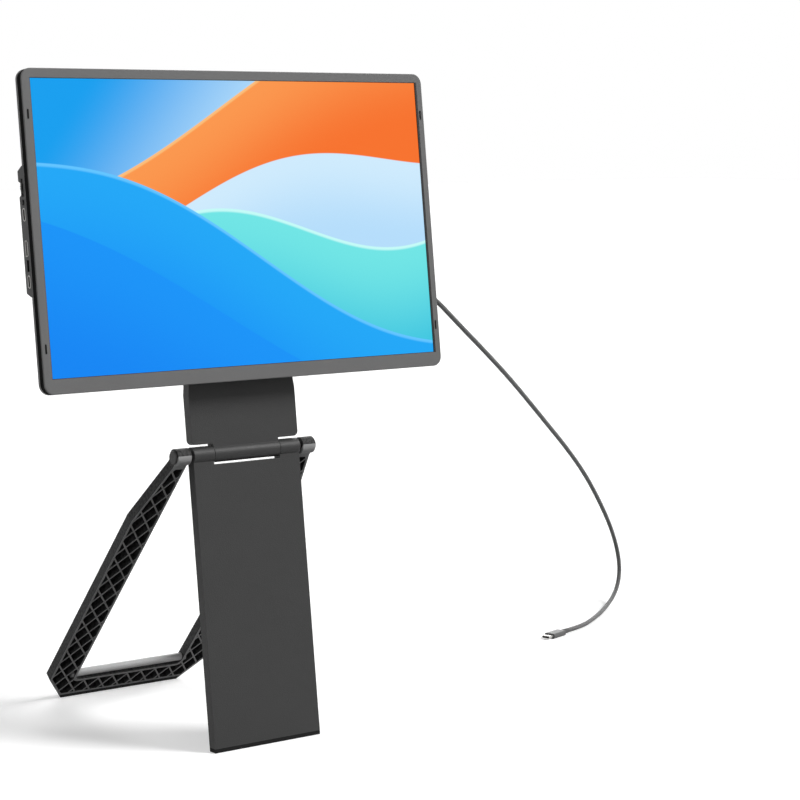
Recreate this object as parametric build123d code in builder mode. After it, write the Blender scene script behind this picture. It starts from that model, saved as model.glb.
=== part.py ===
from build123d import *

import os
from math import cos, radians, sin, tan

# Portable monitor on a folding stand, standing on a desk.
# Millimetres, +X right along the screen, +Y away from the viewer, +Z up.
# The origin is on the desk, in the middle of the front foot.

# Stance of the stand
lean = 7.03  # the screen, arm and front leg lean back from the vertical, degrees
rear_rise = 48.2  # the rear leg climbs from the desk, degrees
front_leg_length = 225.0  # desk to elbow pin, along the leg
arm_length = 171.0  # elbow pin to tilt pin
tilt_pin_depth = 23.0  # from the picture plane back to the tilt pin

# Picture window, and the case round it
window_width = 345.1
window_height = 215.8
side_bezel = 6.95
top_bezel = 7.1
bottom_bezel = 11.3
case_width = window_width + 2 * side_bezel
case_height = window_height + top_bezel + bottom_bezel
window_rise = (bottom_bezel - top_bezel) / 2
case_corner = 8.0
bezel_proud = 0.6  # the bezel stands in front of the picture
bezel_side = 0.6  # bezel wall behind the picture plane
bezel_edge = 0.4
frame_depth = 5.0  # black middle band
cover_depth = 4.1  # grey rear band
cover_edge = 1.6
wall = 2.0
skin = 1.2

# Picture parts
panel_overlap = 2.0  # the panel reaches this far under the bezel's lip
panel_width = window_width + 2 * panel_overlap
panel_height = window_height + 2 * panel_overlap
panel_thickness = 1.3
backlight_thickness = 1.9
pocket_gap = 0.3
frame_floor = 0.8

# Bumpers in the side bezels
bumper_length = 7.0
bumper_width = 1.2
bumper_corner = 0.35
bumper_inset = 3.4
bumper_from_end = 33.0
bumper_sink = 0.3
bumper_proud = 0.3

# Port housing behind the left edge, measured down from the top edge
housing_top = 69.0
housing_bottom = 163.3
housing_width = 72.0
housing_rise = 6.3
housing_slope = 3.2
housing_wall = 1.5
side_inset = 0.3  # the housing's side stands this far inside the case's side
seat = 0.1  # assembly gap between housings that fit into each other

# Controller board and its sockets
board_thickness = 1.2
board_lift = 4.2
board_margin = 3.5
board_end_gap = 2.7  # between the board's inner end and the housing's sloped end
usb_port_size = (8.9, 3.2, 7.3)
hdmi_port_size = (11.2, 3.2, 7.6)
aux_port_size = (8.0, 2.6, 5.6)
port_metal = 0.3
port_sink = 0.2
port_gap = 0.25
first_usb_down = 103.9
hdmi_down = 128.2
aux_down = 140.6
second_usb_down = 152.1
wheel_down = 84.5
button_down = 95.1

# Wheel and button
wheel_radius = 7.0
wheel_thickness = 2.2
wheel_out = 1.0
wheel_teeth = 24
wheel_groove = 0.7
wheel_gap = 0.35
recess_top = 79.4  # thumb recess over the wheel, measured down from the top edge
recess_bottom = 91.1
recess_depth = 2.7
recess_slope = 1.5
recess_reach = 9.0
axle_radius = 1.5
running_gap = 0.05  # radial, shaft in its bore
button_length = 3.6
button_height = 2.4
button_out = 0.8
button_travel = 0.6
button_flange = 0.8
button_lip = 0.3  # the flange stands this far out round the button
switch_size = (4.0, 4.0)

# Other inner parts
driver_board_size = (200.0, 13.0, 0.8)
driver_board_up = 19.1  # from the case's lower edge to the board's middle
driver_chip_size = (22.0, 4.0, 1.0)
driver_chip_pitch = 45.0
speaker_size = (42.0, 15.0, 3.6)
speaker_corner = 2.0
speaker_frame = 2.0
speaker_roll = 1.6  # groove round the cone
speaker_sink = 0.8
speaker_in = 61.5  # from the case's side
speaker_up = 33.1  # from the case's lower edge
speaker_slot = (22.0, 1.2)
speaker_slot_pitch = 2.6

# Screws
screw_radius = 1.2
screw_head = 2.4
screw_head_depth = 0.7
screw_grip = 3.2
boss_radius = 3.0
small_round_sides = 12  # of screws, their holes and their bosses
cover_screw_in = 9.0

# Swivel
swivel_radius = 36.0
swivel_plate_thickness = 2.6
washer_thickness = 0.4
bracket_thickness = 2.6
rivet_radius = 5.0
rivet_flange_radius = 8.5
rivet_flange = 0.9
swivel_screw_circle = 26.0
slide_gap = 0.3  # between flat faces that turn on each other

# Hinges
leaf_thickness = 8.0
knuckle_radius = 6.5
pin_radius = 3.0
knuckle_clear = 1.5  # from a knuckle to the next leaf's edge
cap_radius = 5.2
cap_thickness = 1.6
ear_width = 11.0
arm_top_knuckle = 19.7  # half width

# Front leg and arm
spine_half = 48.2
elbow_middle_half = 29.7  # the arm's middle knuckle
arm_shoulder = 34.0  # half width below the tilt pin
arm_straight = 46.0
leaf_corner = 4.0

# Rear leg
leg_half = 75.4
leg_chamfer_rise = 31.0
leg_taper_start = 232.0
leg_knuckle_width = 11.5
leg_window_rise = 26.0
leg_window_corner = 6.0
nest_gap = 2.8  # between the front leg's edge and the window of the rear leg
rod_radius = 3.2
rod_rise = 31.0
rod_seat = 4.0

# Rib lattice of the moulded leaves
rib_angle = 55.0  # ribs and foot chamfers, from the leaf's width
rib_pitch = 13.7  # across the rear leg
spine_rib_pitch = 27.4  # across the front leg and the arm
rib_width = 1.4
rib_crossing = 141.0  # one crossing on the rear leg's middle line, from the desk
rim = 1.8
pocket_depth = 6.2

# Rubber feet
foot_pad = 3.0

# Cable and its plugs
cable_radius = 2.0
port_cover_in = 70.0  # from the case's right side
port_cover_up = 70.0  # from the case's lower edge to the cover's middle
port_cover_length = 52.0
port_cover_height = 26.0
port_cover_rise = 5.9
port_cover_edge = 1.2
port_cover_corner = 3.0
small_board = (40.0, 18.0, 1.0)
plug_shell = (8.2, 2.4, 6.4)
plug_body = (20.0, 10.6, 4.8)
plug_corner = 1.6
relief_length = 11.0
relief_radius = 2.4
relief_neck = 2.1
cable_sides = 8
far_plug_place = (416.0, 150.0)  # front of its overmould, on the desk
far_plug_turn = 16.08  # degrees from +X

# Frame of the leaning parts
lean_up = Vector(0, sin(radians(lean)), cos(radians(lean)))
lean_back = Vector(0, cos(radians(lean)), -sin(radians(lean)))
leg_up = Vector(0, -cos(radians(rear_rise)), sin(radians(rear_rise)))
leg_inward = Vector(0, -sin(radians(rear_rise)), -cos(radians(rear_rise)))
elbow = lean_up * front_leg_length
tilt_axis = lean_up * (front_leg_length + arm_length)
case_centre = tilt_axis - lean_back * tilt_pin_depth
rear_leg_length = elbow.Z / sin(radians(rear_rise))

# Depths behind the picture plane
frame_front = bezel_side
cover_front = frame_front + frame_depth
case_back = cover_front + cover_depth
floor_front = panel_thickness + backlight_thickness
floor_back = floor_front + frame_floor
cover_floor = case_back - skin
board_front = floor_back + board_lift
board_back = board_front + board_thickness
port_depth = board_back + usb_port_size[1] / 2
housing_back = case_back + housing_rise
plate_back = case_back + swivel_plate_thickness
bracket_front = plate_back + washer_thickness
bracket_back = bracket_front + bracket_thickness

# Heights above the middle of the case
half_width = case_width / 2
half_height = case_height / 2
housing_high = half_height - housing_top
housing_low = half_height - housing_bottom
housing_middle = (housing_high + housing_low) / 2
housing_side = -half_width + side_inset
housing_inner = housing_side + housing_width
port_cover_right = half_width - port_cover_in
port_cover_drop = half_height - port_cover_up

os.makedirs("parts", exist_ok=True)


def finish(part, name):
    """Label a finished piece and write it to its own file."""
    part.part.label = name
    export_step(part.part, f"parts/{name}.step")


def behind(depth):
    """Plane parallel to the screen, this far behind the picture, facing the viewer."""
    return Plane(case_centre + lean_back * depth, x_dir=(1, 0, 0), z_dir=lean_back * -1)


def across(x):
    """Plane square to X at x: its own x runs back from the picture, its y runs up."""
    return Plane(case_centre + Vector(x, 0, 0), x_dir=lean_back, z_dir=(1, 0, 0))


def hinge_plane(centre, x):
    """Plane square to X at x, with its origin on a hinge axis."""
    return Plane(centre + Vector(x, 0, 0), x_dir=(0, 1, 0), z_dir=(1, 0, 0))


stack_plane = Plane(elbow, x_dir=(1, 0, 0), z_dir=lean_back * -1)
leg_plane = Plane(elbow, x_dir=(1, 0, 0), z_dir=leg_inward)


def rod_along_x(centre, radius, start, end, mode=Mode.ADD):
    """Round bar or bore along X, in the part that is open."""
    with Locations(hinge_plane(centre, start)):
        Cylinder(radius, end - start, align=(Align.CENTER, Align.CENTER, Align.MIN), mode=mode)


def take_out_ribs(width, height, pitch):
    """Take crossed diagonal ribs out of the pocket sketch that is open."""
    count = int((width + height / tan(radians(rib_angle))) / 2 / pitch) + 1
    places = [(i * pitch, 0) for i in range(-count, count + 1)]
    for turn in (rib_angle, -rib_angle):
        with Locations(*places):
            Rectangle(2 * (width + height), rib_width, rotation=turn, mode=Mode.SUBTRACT)


def small_round(radius):
    """Small disc with flat sides, in the sketch that is open."""
    RegularPolygon(radius, small_round_sides)


# Screw places
cover_screw_places = [
    (x * (half_width - cover_screw_in), y * (half_height - cover_screw_in))
    for x in (-1, 0, 1)
    for y in (-1, 1)
]
swivel_screw_places = [
    (x * swivel_screw_circle * sin(radians(45)), y * swivel_screw_circle * sin(radians(45)))
    for x in (-1, 1)
    for y in (-1, 1)
]
bumper_places = [
    (x * (half_width - bumper_inset), y * (half_height - bumper_from_end))
    for x in (-1, 1)
    for y in (-1, 1)
]
speaker_places = [(x * (half_width - speaker_in), speaker_up - half_height) for x in (-1, 1)]
board_width = housing_width - housing_rise - housing_wall - board_margin - board_end_gap
board_centre = (housing_side + board_margin + board_width / 2, housing_middle)
board_height = housing_bottom - housing_top - 2 * board_margin
board_boss_places = [
    (board_centre[0] + x * (board_width / 2 - 4), board_centre[1] + y * (board_height / 2 - 4))
    for x in (-1, 1)
    for y in (-1, 1)
]


# Front bezel: a thin ring with a lip round the picture
with BuildPart() as front_bezel:
    with BuildSketch(behind(-bezel_proud)):
        RectangleRounded(case_width, case_height, case_corner)
        with Locations((0, window_rise)):
            Rectangle(window_width, window_height, mode=Mode.SUBTRACT)
    extrude(amount=-bezel_proud)
    with BuildSketch(behind(0)):
        RectangleRounded(case_width, case_height, case_corner)
        with Locations((0, window_rise)):
            Rectangle(panel_width + 2 * pocket_gap, panel_height + 2 * pocket_gap, mode=Mode.SUBTRACT)
    extrude(amount=-bezel_side)
    rim_edges = front_bezel.faces().sort_by(Axis(case_centre, lean_back))[0].outer_wire().edges()
    chamfer(rim_edges, bezel_edge)
    with BuildSketch(behind(-bezel_proud)):
        with Locations(*bumper_places):
            Rectangle(bumper_width, bumper_length)
        chamfer(vertices(), bumper_corner)
    extrude(amount=-bumper_sink, mode=Mode.SUBTRACT)
finish(front_bezel, "front_bezel")

with BuildPart() as bezel_bumpers:
    with BuildSketch(behind(-bezel_proud - bumper_proud)):
        with Locations(*bumper_places):
            Rectangle(bumper_width, bumper_length)
        chamfer(vertices(), bumper_corner)
    extrude(amount=-bumper_proud - bumper_sink)
finish(bezel_bumpers, "bezel_bumpers")

# Display panel and backlight, in the pocket of bezel and frame
with BuildPart() as display_panel:
    with BuildSketch(behind(0)):
        with Locations((0, window_rise)):
            Rectangle(panel_width, panel_height)
    extrude(amount=-panel_thickness)
finish(display_panel, "display_panel")

with BuildPart() as backlight:
    with BuildSketch(behind(panel_thickness)):
        with Locations((0, window_rise)):
            RectangleRounded(panel_width, panel_height, 2)
    extrude(amount=-backlight_thickness)
finish(backlight, "backlight")

# Middle frame: wall, floor behind the backlight, bosses for board and screws
with BuildPart() as mid_frame:
    with BuildSketch(behind(frame_front)):
        RectangleRounded(case_width, case_height, case_corner)
    extrude(amount=-frame_depth)
    with BuildSketch(behind(frame_front)):
        with Locations((0, window_rise)):
            Rectangle(panel_width + 2 * pocket_gap, panel_height + 2 * pocket_gap)
    extrude(amount=frame_front - floor_front, mode=Mode.SUBTRACT)
    with BuildSketch(behind(floor_back)):
        RectangleRounded(case_width - 2 * wall, case_height - 2 * wall, case_corner - wall)
    extrude(amount=floor_back - cover_front, mode=Mode.SUBTRACT)
    with BuildSketch(behind(floor_back)):
        with Locations(*cover_screw_places):
            small_round(boss_radius)
    extrude(amount=floor_back - cover_floor)
    with BuildSketch(behind(floor_back)):
        with Locations(*board_boss_places):
            small_round(boss_radius)
    extrude(amount=-board_lift)
    with BuildSketch(behind(cover_floor)):
        with Locations(*cover_screw_places):
            small_round(screw_radius)
    extrude(amount=screw_grip, mode=Mode.SUBTRACT)
finish(mid_frame, "mid_frame")

# Back cover: shallow tray, notched at the left for the port housing
with BuildPart() as back_cover:
    with BuildSketch(behind(cover_front)):
        RectangleRounded(case_width, case_height, case_corner)
    extrude(amount=-cover_depth)
    back_face = back_cover.faces().sort_by(Axis(case_centre, lean_back))[-1]
    chamfer(back_face.outer_wire().edges(), cover_edge)
    with BuildSketch(behind(cover_front)):
        RectangleRounded(case_width - 2 * wall, case_height - 2 * wall, case_corner - wall)
    extrude(amount=cover_front - cover_floor, mode=Mode.SUBTRACT)
    with BuildSketch(behind(cover_front)):
        with Locations((housing_inner + seat, housing_middle)):
            Rectangle(
                housing_width + 2 * wall,
                housing_high - housing_low + 2 * seat,
                align=(Align.MAX, Align.CENTER),
            )
    extrude(amount=-cover_depth, mode=Mode.SUBTRACT)
    with BuildSketch(behind(case_back)):
        with Locations(*cover_screw_places):
            small_round(screw_head + seat)
    extrude(amount=screw_head_depth, mode=Mode.SUBTRACT)
    with BuildSketch(behind(case_back)):
        with Locations(*cover_screw_places, *swivel_screw_places):
            small_round(screw_radius)
    extrude(amount=skin, mode=Mode.SUBTRACT)
    with BuildSketch(behind(case_back)):
        with Locations(*speaker_places):
            with GridLocations(0, speaker_slot_pitch, 1, 4):
                Rectangle(*speaker_slot)
    extrude(amount=skin, mode=Mode.SUBTRACT)
finish(back_cover, "back_cover")

with BuildPart() as cover_screws:
    with BuildSketch(behind(case_back)):
        with Locations(*cover_screw_places):
            small_round(screw_head)
    extrude(amount=screw_head_depth)
    with BuildSketch(behind(case_back)):
        with Locations(*cover_screw_places):
            small_round(screw_radius)
    extrude(amount=skin + screw_grip - seat)
finish(cover_screws, "cover_screws")

# Sockets: places down the left side
usb_heights = [half_height - first_usb_down, half_height - second_usb_down]
hdmi_height = half_height - hdmi_down
aux_height = half_height - aux_down
wheel_height = half_height - wheel_down
button_height_place = half_height - button_down
button_back = housing_side + housing_wall + button_travel + 2.2
wheel_x = housing_side - wheel_out + wheel_radius
recess_floor_back = board_back + 2 * wheel_gap + wheel_thickness + seat


def hdmi_outline(grow):
    """Corners of the small video socket: a bar with two cut corners."""
    across_half = hdmi_port_size[0] / 2 + grow
    low = port_depth - hdmi_port_size[1] / 2 - grow
    high = port_depth + hdmi_port_size[1] / 2 + grow
    cut = (high - low) * 0.4
    return [
        (low, hdmi_height - across_half),
        (high - cut, hdmi_height - across_half),
        (high, hdmi_height - across_half + cut),
        (high, hdmi_height + across_half - cut),
        (high - cut, hdmi_height + across_half),
        (low, hdmi_height + across_half),
    ]


# Port housing: shell with chamfered ends, open to the inside
with BuildPart() as port_housing:
    with BuildSketch(across(housing_side)):
        with BuildLine():
            Polyline(
                (cover_front, housing_low),
                (case_back, housing_low),
                (housing_back, housing_low + housing_slope),
                (housing_back, housing_high - housing_slope),
                (case_back, housing_high),
                (cover_front, housing_high),
                close=True,
            )
        make_face()
    extrude(amount=housing_width)
    inner_edge = port_housing.faces().sort_by(Axis.X)[-1].edges()
    chamfer(inner_edge.sort_by(Axis(case_centre, lean_back))[-1], housing_rise)
    with BuildSketch(across(housing_side + housing_wall)):
        with BuildLine():
            Polyline(
                (cover_front, housing_low + housing_wall),
                (case_back, housing_low + housing_wall),
                (housing_back - housing_wall, housing_low + housing_slope + housing_wall),
                (housing_back - housing_wall, housing_high - housing_slope - housing_wall),
                (case_back, housing_high - housing_wall),
                (cover_front, housing_high - housing_wall),
                close=True,
            )
        make_face()
    extrude(amount=housing_width - 2 * housing_wall - housing_rise, mode=Mode.SUBTRACT)
    with BuildSketch(across(housing_side + housing_wall)):
        with Locations((recess_floor_back, half_height - recess_top + housing_wall)):
            Rectangle(
                housing_back - housing_wall - recess_floor_back,
                recess_bottom - recess_top + 2 * housing_wall,
                align=(Align.MIN, Align.MAX),
            )
    extrude(amount=recess_reach)
    with BuildSketch(across(housing_side)):
        with BuildLine():
            Polyline(
                (housing_back - recess_depth, half_height - recess_bottom + recess_slope),
                (housing_back, half_height - recess_bottom),
                (housing_back, half_height - recess_top),
                (housing_back - recess_depth, half_height - recess_top - recess_slope),
                close=True,
            )
        make_face()
    extrude(amount=recess_reach, mode=Mode.SUBTRACT)
    with BuildSketch(across(housing_side)):
        with Locations(*[(port_depth, height) for height in usb_heights]):
            SlotOverall(usb_port_size[0] + 2 * port_gap, usb_port_size[1] + 2 * port_gap, rotation=90)
        with Locations((port_depth, hdmi_height)):
            Rectangle(hdmi_port_size[1] + 2 * port_gap, hdmi_port_size[0] + 2 * port_gap)
        with Locations((board_back + aux_port_size[1] / 2, aux_height)):
            Rectangle(aux_port_size[1] + 2 * port_gap, aux_port_size[0] + 2 * port_gap)
        with Locations((board_back + wheel_gap + wheel_thickness / 2, wheel_height)):
            Rectangle(wheel_thickness + 2 * wheel_gap, 2 * wheel_radius - 1)
        with Locations((port_depth, button_height_place)):
            SlotOverall(button_length + 2 * port_gap, button_height + 2 * port_gap, rotation=90)
    extrude(amount=housing_wall, mode=Mode.SUBTRACT)
finish(port_housing, "port_housing")

with BuildPart() as controller_board:
    with BuildSketch(behind(board_front)):
        with Locations(board_centre):
            RectangleRounded(board_width, board_height, 2)
    extrude(amount=-board_thickness)
finish(controller_board, "controller_board")


def usb_port(face_x, depth, height, direction):
    """Oval metal socket with its tongue, open towards the cable."""
    width, thick, length = usb_port_size
    plane = Plane(
        case_centre + Vector(face_x, 0, 0) + lean_back * depth + lean_up * height,
        x_dir=lean_up,
        z_dir=(direction, 0, 0),
    )
    with BuildPart() as port:
        with BuildSketch(plane):
            SlotOverall(width, thick)
        extrude(amount=length)
        with BuildSketch(plane):
            SlotOverall(width - 2 * port_metal, thick - 2 * port_metal)
            Rectangle(width * 0.72, thick * 0.2, mode=Mode.SUBTRACT)
        extrude(amount=length - 1.0, mode=Mode.SUBTRACT)
        with BuildSketch(plane):
            SlotOverall(width - 2 * port_metal, thick - 2 * port_metal)
        extrude(amount=1.0, mode=Mode.SUBTRACT)
    return port


port_face = housing_side + port_sink
finish(usb_port(port_face, port_depth, usb_heights[0], 1), "usb_c_port_power")
finish(usb_port(port_face, port_depth, usb_heights[1], 1), "usb_c_port_video")

with BuildPart() as mini_hdmi_port:
    with BuildSketch(across(port_face)):
        with BuildLine():
            Polyline(*hdmi_outline(0), close=True)
        make_face()
    extrude(amount=hdmi_port_size[2])
    with BuildSketch(across(port_face)):
        with BuildLine():
            Polyline(*hdmi_outline(-port_metal), close=True)
        make_face()
        with Locations((port_depth, hdmi_height)):
            Rectangle(0.7, hdmi_port_size[0] * 0.65, mode=Mode.SUBTRACT)
    extrude(amount=hdmi_port_size[2] - 1.0, mode=Mode.SUBTRACT)
finish(mini_hdmi_port, "mini_hdmi_port")

with BuildPart() as aux_port:
    with BuildSketch(across(port_face)):
        with Locations((board_back + aux_port_size[1] / 2, aux_height)):
            Rectangle(aux_port_size[1], aux_port_size[0])
    extrude(amount=aux_port_size[2])
    with BuildSketch(across(port_face)):
        with Locations((board_back + aux_port_size[1] / 2, aux_height)):
            Rectangle(aux_port_size[1] - 2 * port_metal, aux_port_size[0] - 2 * port_metal)
            Rectangle(0.6, aux_port_size[0] * 0.6, mode=Mode.SUBTRACT)
    extrude(amount=aux_port_size[2] - 1.0, mode=Mode.SUBTRACT)
finish(aux_port, "aux_port")

# Menu wheel on its axle, and the power button before its switch
wheel_front = board_back + wheel_gap
with BuildPart() as jog_axle:
    with BuildSketch(behind(board_back)):
        with Locations((wheel_x, wheel_height)):
            Circle(axle_radius)
    extrude(amount=-2 * wheel_gap - wheel_thickness)
finish(jog_axle, "jog_axle")

with BuildPart() as jog_wheel:
    with BuildSketch(behind(wheel_front)):
        with Locations((wheel_x, wheel_height)):
            Circle(wheel_radius)
            with PolarLocations(wheel_radius, wheel_teeth):
                Rectangle(wheel_groove, wheel_groove, mode=Mode.SUBTRACT)
            Circle(axle_radius + running_gap, mode=Mode.SUBTRACT)
    extrude(amount=-wheel_thickness)
finish(jog_wheel, "jog_wheel")

with BuildPart() as power_button:
    with BuildSketch(across(housing_side - button_out)):
        with Locations((port_depth, button_height_place)):
            SlotOverall(button_length, button_height, rotation=90)
    extrude(amount=button_back - housing_side + button_out)
    with BuildSketch(across(housing_side + housing_wall + port_gap)):
        with Locations((port_depth, button_height_place)):
            SlotOverall(button_length + 2 * button_lip, button_height + 2 * button_lip, rotation=90)
    extrude(amount=button_flange)
    chamfer(power_button.faces().sort_by(Axis.X)[0].edges(), 0.2)
finish(power_button, "power_button")

with BuildPart() as power_switch:
    with BuildSketch(behind(board_back)):
        with Locations((button_back + button_travel + 0.2, button_height_place)):
            Rectangle(*switch_size, align=(Align.MIN, Align.CENTER))
    extrude(amount=-usb_port_size[1])
finish(power_switch, "power_switch")

# Driver board and speakers on the frame's floor
with BuildPart() as driver_board:
    with BuildSketch(behind(floor_back)):
        with Locations((0, driver_board_up - half_height)):
            Rectangle(driver_board_size[0], driver_board_size[1])
    extrude(amount=-driver_board_size[2])
    with BuildSketch(behind(floor_back + driver_board_size[2])):
        with Locations((0, driver_board_up - half_height)):
            with GridLocations(driver_chip_pitch, 0, 4, 1):
                Rectangle(*driver_chip_size[:2])
    extrude(amount=-driver_chip_size[2])
finish(driver_board, "driver_board")

with BuildPart() as speakers:
    with BuildSketch(behind(floor_back)):
        with Locations(*speaker_places):
            Rectangle(speaker_size[0], speaker_size[1])
        chamfer(vertices(), speaker_corner)
    extrude(amount=-speaker_size[2])
    with BuildSketch(behind(floor_back + speaker_size[2])):
        with Locations(*speaker_places):
            Rectangle(speaker_size[0] - 2 * speaker_frame, speaker_size[1] - 2 * speaker_frame)
            Rectangle(
                speaker_size[0] - 2 * speaker_frame - 2 * speaker_roll,
                speaker_size[1] - 2 * speaker_frame - 2 * speaker_roll,
                mode=Mode.SUBTRACT,
            )
    extrude(amount=speaker_sink, mode=Mode.SUBTRACT)
finish(speakers, "speakers")

# Swivel plate on the cover, with its screws
with BuildPart() as swivel_plate:
    with BuildSketch(behind(case_back)):
        Circle(swivel_radius)
        Circle(rivet_radius + running_gap, mode=Mode.SUBTRACT)
    extrude(amount=-swivel_plate_thickness)
    with BuildSketch(behind(case_back)):
        Circle(rivet_flange_radius + slide_gap)
    extrude(amount=-rivet_flange - 2 * slide_gap, mode=Mode.SUBTRACT)
    with BuildSketch(behind(plate_back)):
        with Locations(*swivel_screw_places):
            small_round(screw_head + seat)
    extrude(amount=screw_head_depth, mode=Mode.SUBTRACT)
    with BuildSketch(behind(case_back)):
        with Locations(*swivel_screw_places):
            small_round(screw_radius)
    extrude(amount=-swivel_plate_thickness, mode=Mode.SUBTRACT)
finish(swivel_plate, "swivel_plate")

with BuildPart() as swivel_screws:
    with BuildSketch(behind(plate_back)):
        with Locations(*swivel_screw_places):
            small_round(screw_head)
    extrude(amount=screw_head_depth)
    with BuildSketch(behind(plate_back)):
        with Locations(*swivel_screw_places):
            small_round(screw_radius)
    extrude(amount=swivel_plate_thickness + skin)
finish(swivel_screws, "swivel_screws")

with BuildPart() as swivel_washer:
    with BuildSketch(behind(bracket_front)):
        Circle(swivel_radius - 3)
        Circle(rivet_radius + running_gap, mode=Mode.SUBTRACT)
    extrude(amount=washer_thickness - running_gap)
finish(swivel_washer, "swivel_washer")

# Head bracket: turning disc with two ears that take the tilt pin
ear_start = arm_top_knuckle + slide_gap
ear_reach = tilt_pin_depth - bracket_front
with BuildPart() as head_bracket:
    with BuildSketch(behind(bracket_front)):
        Circle(swivel_radius - 1)
    extrude(amount=-bracket_thickness)
    for side in (-1, 1):
        near = min(side * ear_start, side * (ear_start + ear_width))
        rod_along_x(tilt_axis, knuckle_radius, near, near + ear_width)
        with BuildSketch(across(near)):
            with Locations((bracket_front, 0)):
                Rectangle(ear_reach, 2 * knuckle_radius, align=(Align.MIN, Align.CENTER))
        extrude(amount=ear_width)
    with BuildSketch(behind(bracket_front)):
        Circle(rivet_radius + running_gap)
    extrude(amount=-bracket_thickness, mode=Mode.SUBTRACT)
    rod_along_x(
        tilt_axis,
        pin_radius + running_gap,
        -ear_start - ear_width,
        ear_start + ear_width,
        mode=Mode.SUBTRACT,
    )
finish(head_bracket, "head_bracket")

with BuildPart() as swivel_rivet:
    with BuildSketch(behind(case_back + slide_gap)):
        Circle(rivet_flange_radius)
    extrude(amount=-rivet_flange)
    with BuildSketch(behind(case_back + slide_gap)):
        Circle(rivet_radius)
    extrude(amount=case_back + slide_gap - bracket_back)
    with BuildSketch(behind(bracket_back)):
        Circle(rivet_radius + 1.2)
    extrude(amount=-0.6)
finish(swivel_rivet, "swivel_rivet")

# Upper arm
arm_foot = knuckle_radius + knuckle_clear
arm_head = arm_length - knuckle_radius - knuckle_clear
arm_outline = [
    (-spine_half, arm_foot),
    (-spine_half, arm_straight),
    (-arm_shoulder, arm_head),
    (arm_shoulder, arm_head),
    (spine_half, arm_straight),
    (spine_half, arm_foot),
]
arm_middle = (arm_foot + arm_head) / 2
with BuildPart() as upper_arm:
    with BuildSketch(stack_plane.offset(-leaf_thickness / 2)):
        with BuildLine():
            Polyline(*arm_outline, close=True)
        make_face()
        fillet(vertices(), leaf_corner)
        Rectangle(2 * elbow_middle_half, arm_foot + leaf_corner, align=(Align.CENTER, Align.MIN))
        with Locations((0, arm_length)):
            Rectangle(
                2 * arm_top_knuckle,
                knuckle_radius + knuckle_clear + leaf_corner,
                align=(Align.CENTER, Align.MAX),
            )
    extrude(amount=leaf_thickness)
    rod_along_x(elbow, knuckle_radius, -elbow_middle_half, elbow_middle_half)
    rod_along_x(tilt_axis, knuckle_radius, -arm_top_knuckle, arm_top_knuckle)
    with BuildSketch(stack_plane.offset(-leaf_thickness / 2)):
        with BuildLine():
            Polyline(*arm_outline, close=True)
        make_face()
        offset(amount=-rim, mode=Mode.REPLACE)
        with Locations((0, arm_middle)):
            take_out_ribs(2 * spine_half, arm_length, spine_rib_pitch)
    extrude(amount=pocket_depth, mode=Mode.SUBTRACT)
    rod_along_x(
        elbow, pin_radius + running_gap, -elbow_middle_half, elbow_middle_half, mode=Mode.SUBTRACT
    )
    rod_along_x(
        tilt_axis, pin_radius + running_gap, -arm_top_knuckle, arm_top_knuckle, mode=Mode.SUBTRACT
    )
finish(upper_arm, "upper_arm")


def hinge_pin(centre, half):
    """Hinge pin along X."""
    with BuildPart() as pin:
        rod_along_x(centre, pin_radius, -half, half)
    return pin


def pin_caps(centre, half):
    """Domed caps that close both ends of a hinge pin."""
    with BuildPart() as caps:
        for side in (-1, 1):
            start = min(side * half, side * (half + cap_thickness))
            rod_along_x(centre, cap_radius, start, start + cap_thickness)
        chamfer(caps.edges().filter_by(GeomType.CIRCLE).group_by(Axis.X)[0], 0.6)
        chamfer(caps.edges().filter_by(GeomType.CIRCLE).group_by(Axis.X)[-1], 0.6)
    return caps


tilt_pin_half = ear_start + ear_width
leg_knuckle_start = spine_half + nest_gap
elbow_pin_half = leg_knuckle_start + leg_knuckle_width
finish(hinge_pin(tilt_axis, tilt_pin_half), "tilt_pin")
finish(pin_caps(tilt_axis, tilt_pin_half), "tilt_pin_caps")
finish(hinge_pin(elbow, elbow_pin_half), "elbow_pin")
finish(pin_caps(elbow, elbow_pin_half), "elbow_pin_caps")

# Front leg: stands on the desk and carries the elbow pin
front_knuckle_inner = elbow_middle_half + slide_gap
front_knuckle_width = spine_half - front_knuckle_inner
front_top = -knuckle_radius - knuckle_clear
front_foot_rim = foot_pad / cos(radians(lean)) + leaf_thickness / 2 * tan(radians(lean)) + rim
with BuildPart() as front_leg:
    with BuildSketch(stack_plane.offset(-leaf_thickness / 2)):
        with Locations((0, front_top)):
            Rectangle(
                2 * spine_half,
                front_leg_length + front_top + leaf_thickness,
                align=(Align.CENTER, Align.MAX),
            )
        for side in (-1, 1):
            with Locations((side * (front_knuckle_inner + front_knuckle_width / 2), 0)):
                Rectangle(front_knuckle_width, -front_top, align=(Align.CENTER, Align.MAX))
    extrude(amount=leaf_thickness)
    for side in (-1, 1):
        near = min(side * front_knuckle_inner, side * spine_half)
        rod_along_x(elbow, knuckle_radius, near, near + front_knuckle_width)
    with BuildSketch(stack_plane.offset(-leaf_thickness / 2)):
        with Locations((0, front_top - rim)):
            Rectangle(
                2 * (spine_half - rim),
                front_leg_length + front_top - rim - front_foot_rim,
                align=(Align.CENTER, Align.MAX),
            )
        with Locations((0, -front_leg_length / 2)):
            take_out_ribs(2 * spine_half, front_leg_length, spine_rib_pitch)
    extrude(amount=pocket_depth, mode=Mode.SUBTRACT)
    rod_along_x(elbow, pin_radius + running_gap, -spine_half, spine_half, mode=Mode.SUBTRACT)
    split(bisect_by=Plane.XY.offset(foot_pad), keep=Keep.TOP)
finish(front_leg, "front_leg")

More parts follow.
